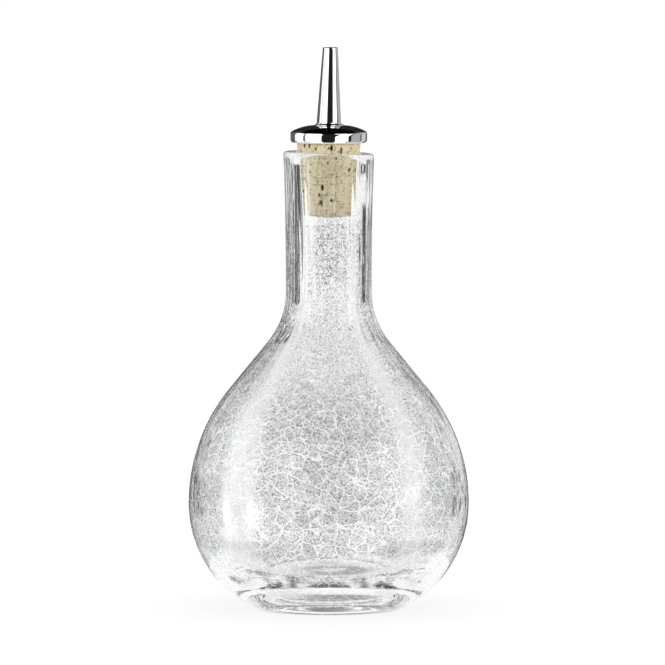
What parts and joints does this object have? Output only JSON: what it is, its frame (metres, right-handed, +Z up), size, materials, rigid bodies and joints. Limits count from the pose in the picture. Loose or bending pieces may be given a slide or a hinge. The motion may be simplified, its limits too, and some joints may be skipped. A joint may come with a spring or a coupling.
{
  "type": "bitters bottle",
  "caption": "Round-bellied crackled glass bitters bottle with a straight neck, a tapered cork stopper and a domed chrome dasher top with a slim pouring spout.",
  "frame": {"origin": "centre of the foot ring, on the surface that the bottle stands on", "axes": "+Z up along the bottle's axis, from the foot to the spout's tip; the bottle is round, so +X and +Y are free"},
  "size_m": [0.0882, 0.0882, 0.176],
  "materials": {
    "glass": "clear blown glass, crackled all over, fire polished",
    "cork": "natural cork, sanded, with dark pores",
    "chrome": "mirror chrome plate",
    "steel": "drawn stainless tube",
    "restrictor": "moulded, plain"
  },
  "bodies": {
    "bottle": {"glass_bottle": "glass"},
    "cork": {"cork_stopper": "cork"},
    "dasher": {"dasher_cap": "chrome", "pouring_spout": "chrome", "stem_tube": "steel", "dash_restrictor": "restrictor"}
  },
  "joints": [
    {"name": "cork_pull", "type": "slide", "parent": "bottle", "child": "cork", "axis": [0, 0, 1], "range_m": [0, 0.045]},
    {"name": "dasher_pull", "type": "slide", "parent": "cork", "child": "dasher", "axis": [0, 0, 1], "range_m": [0, 0.032]}
  ]
}
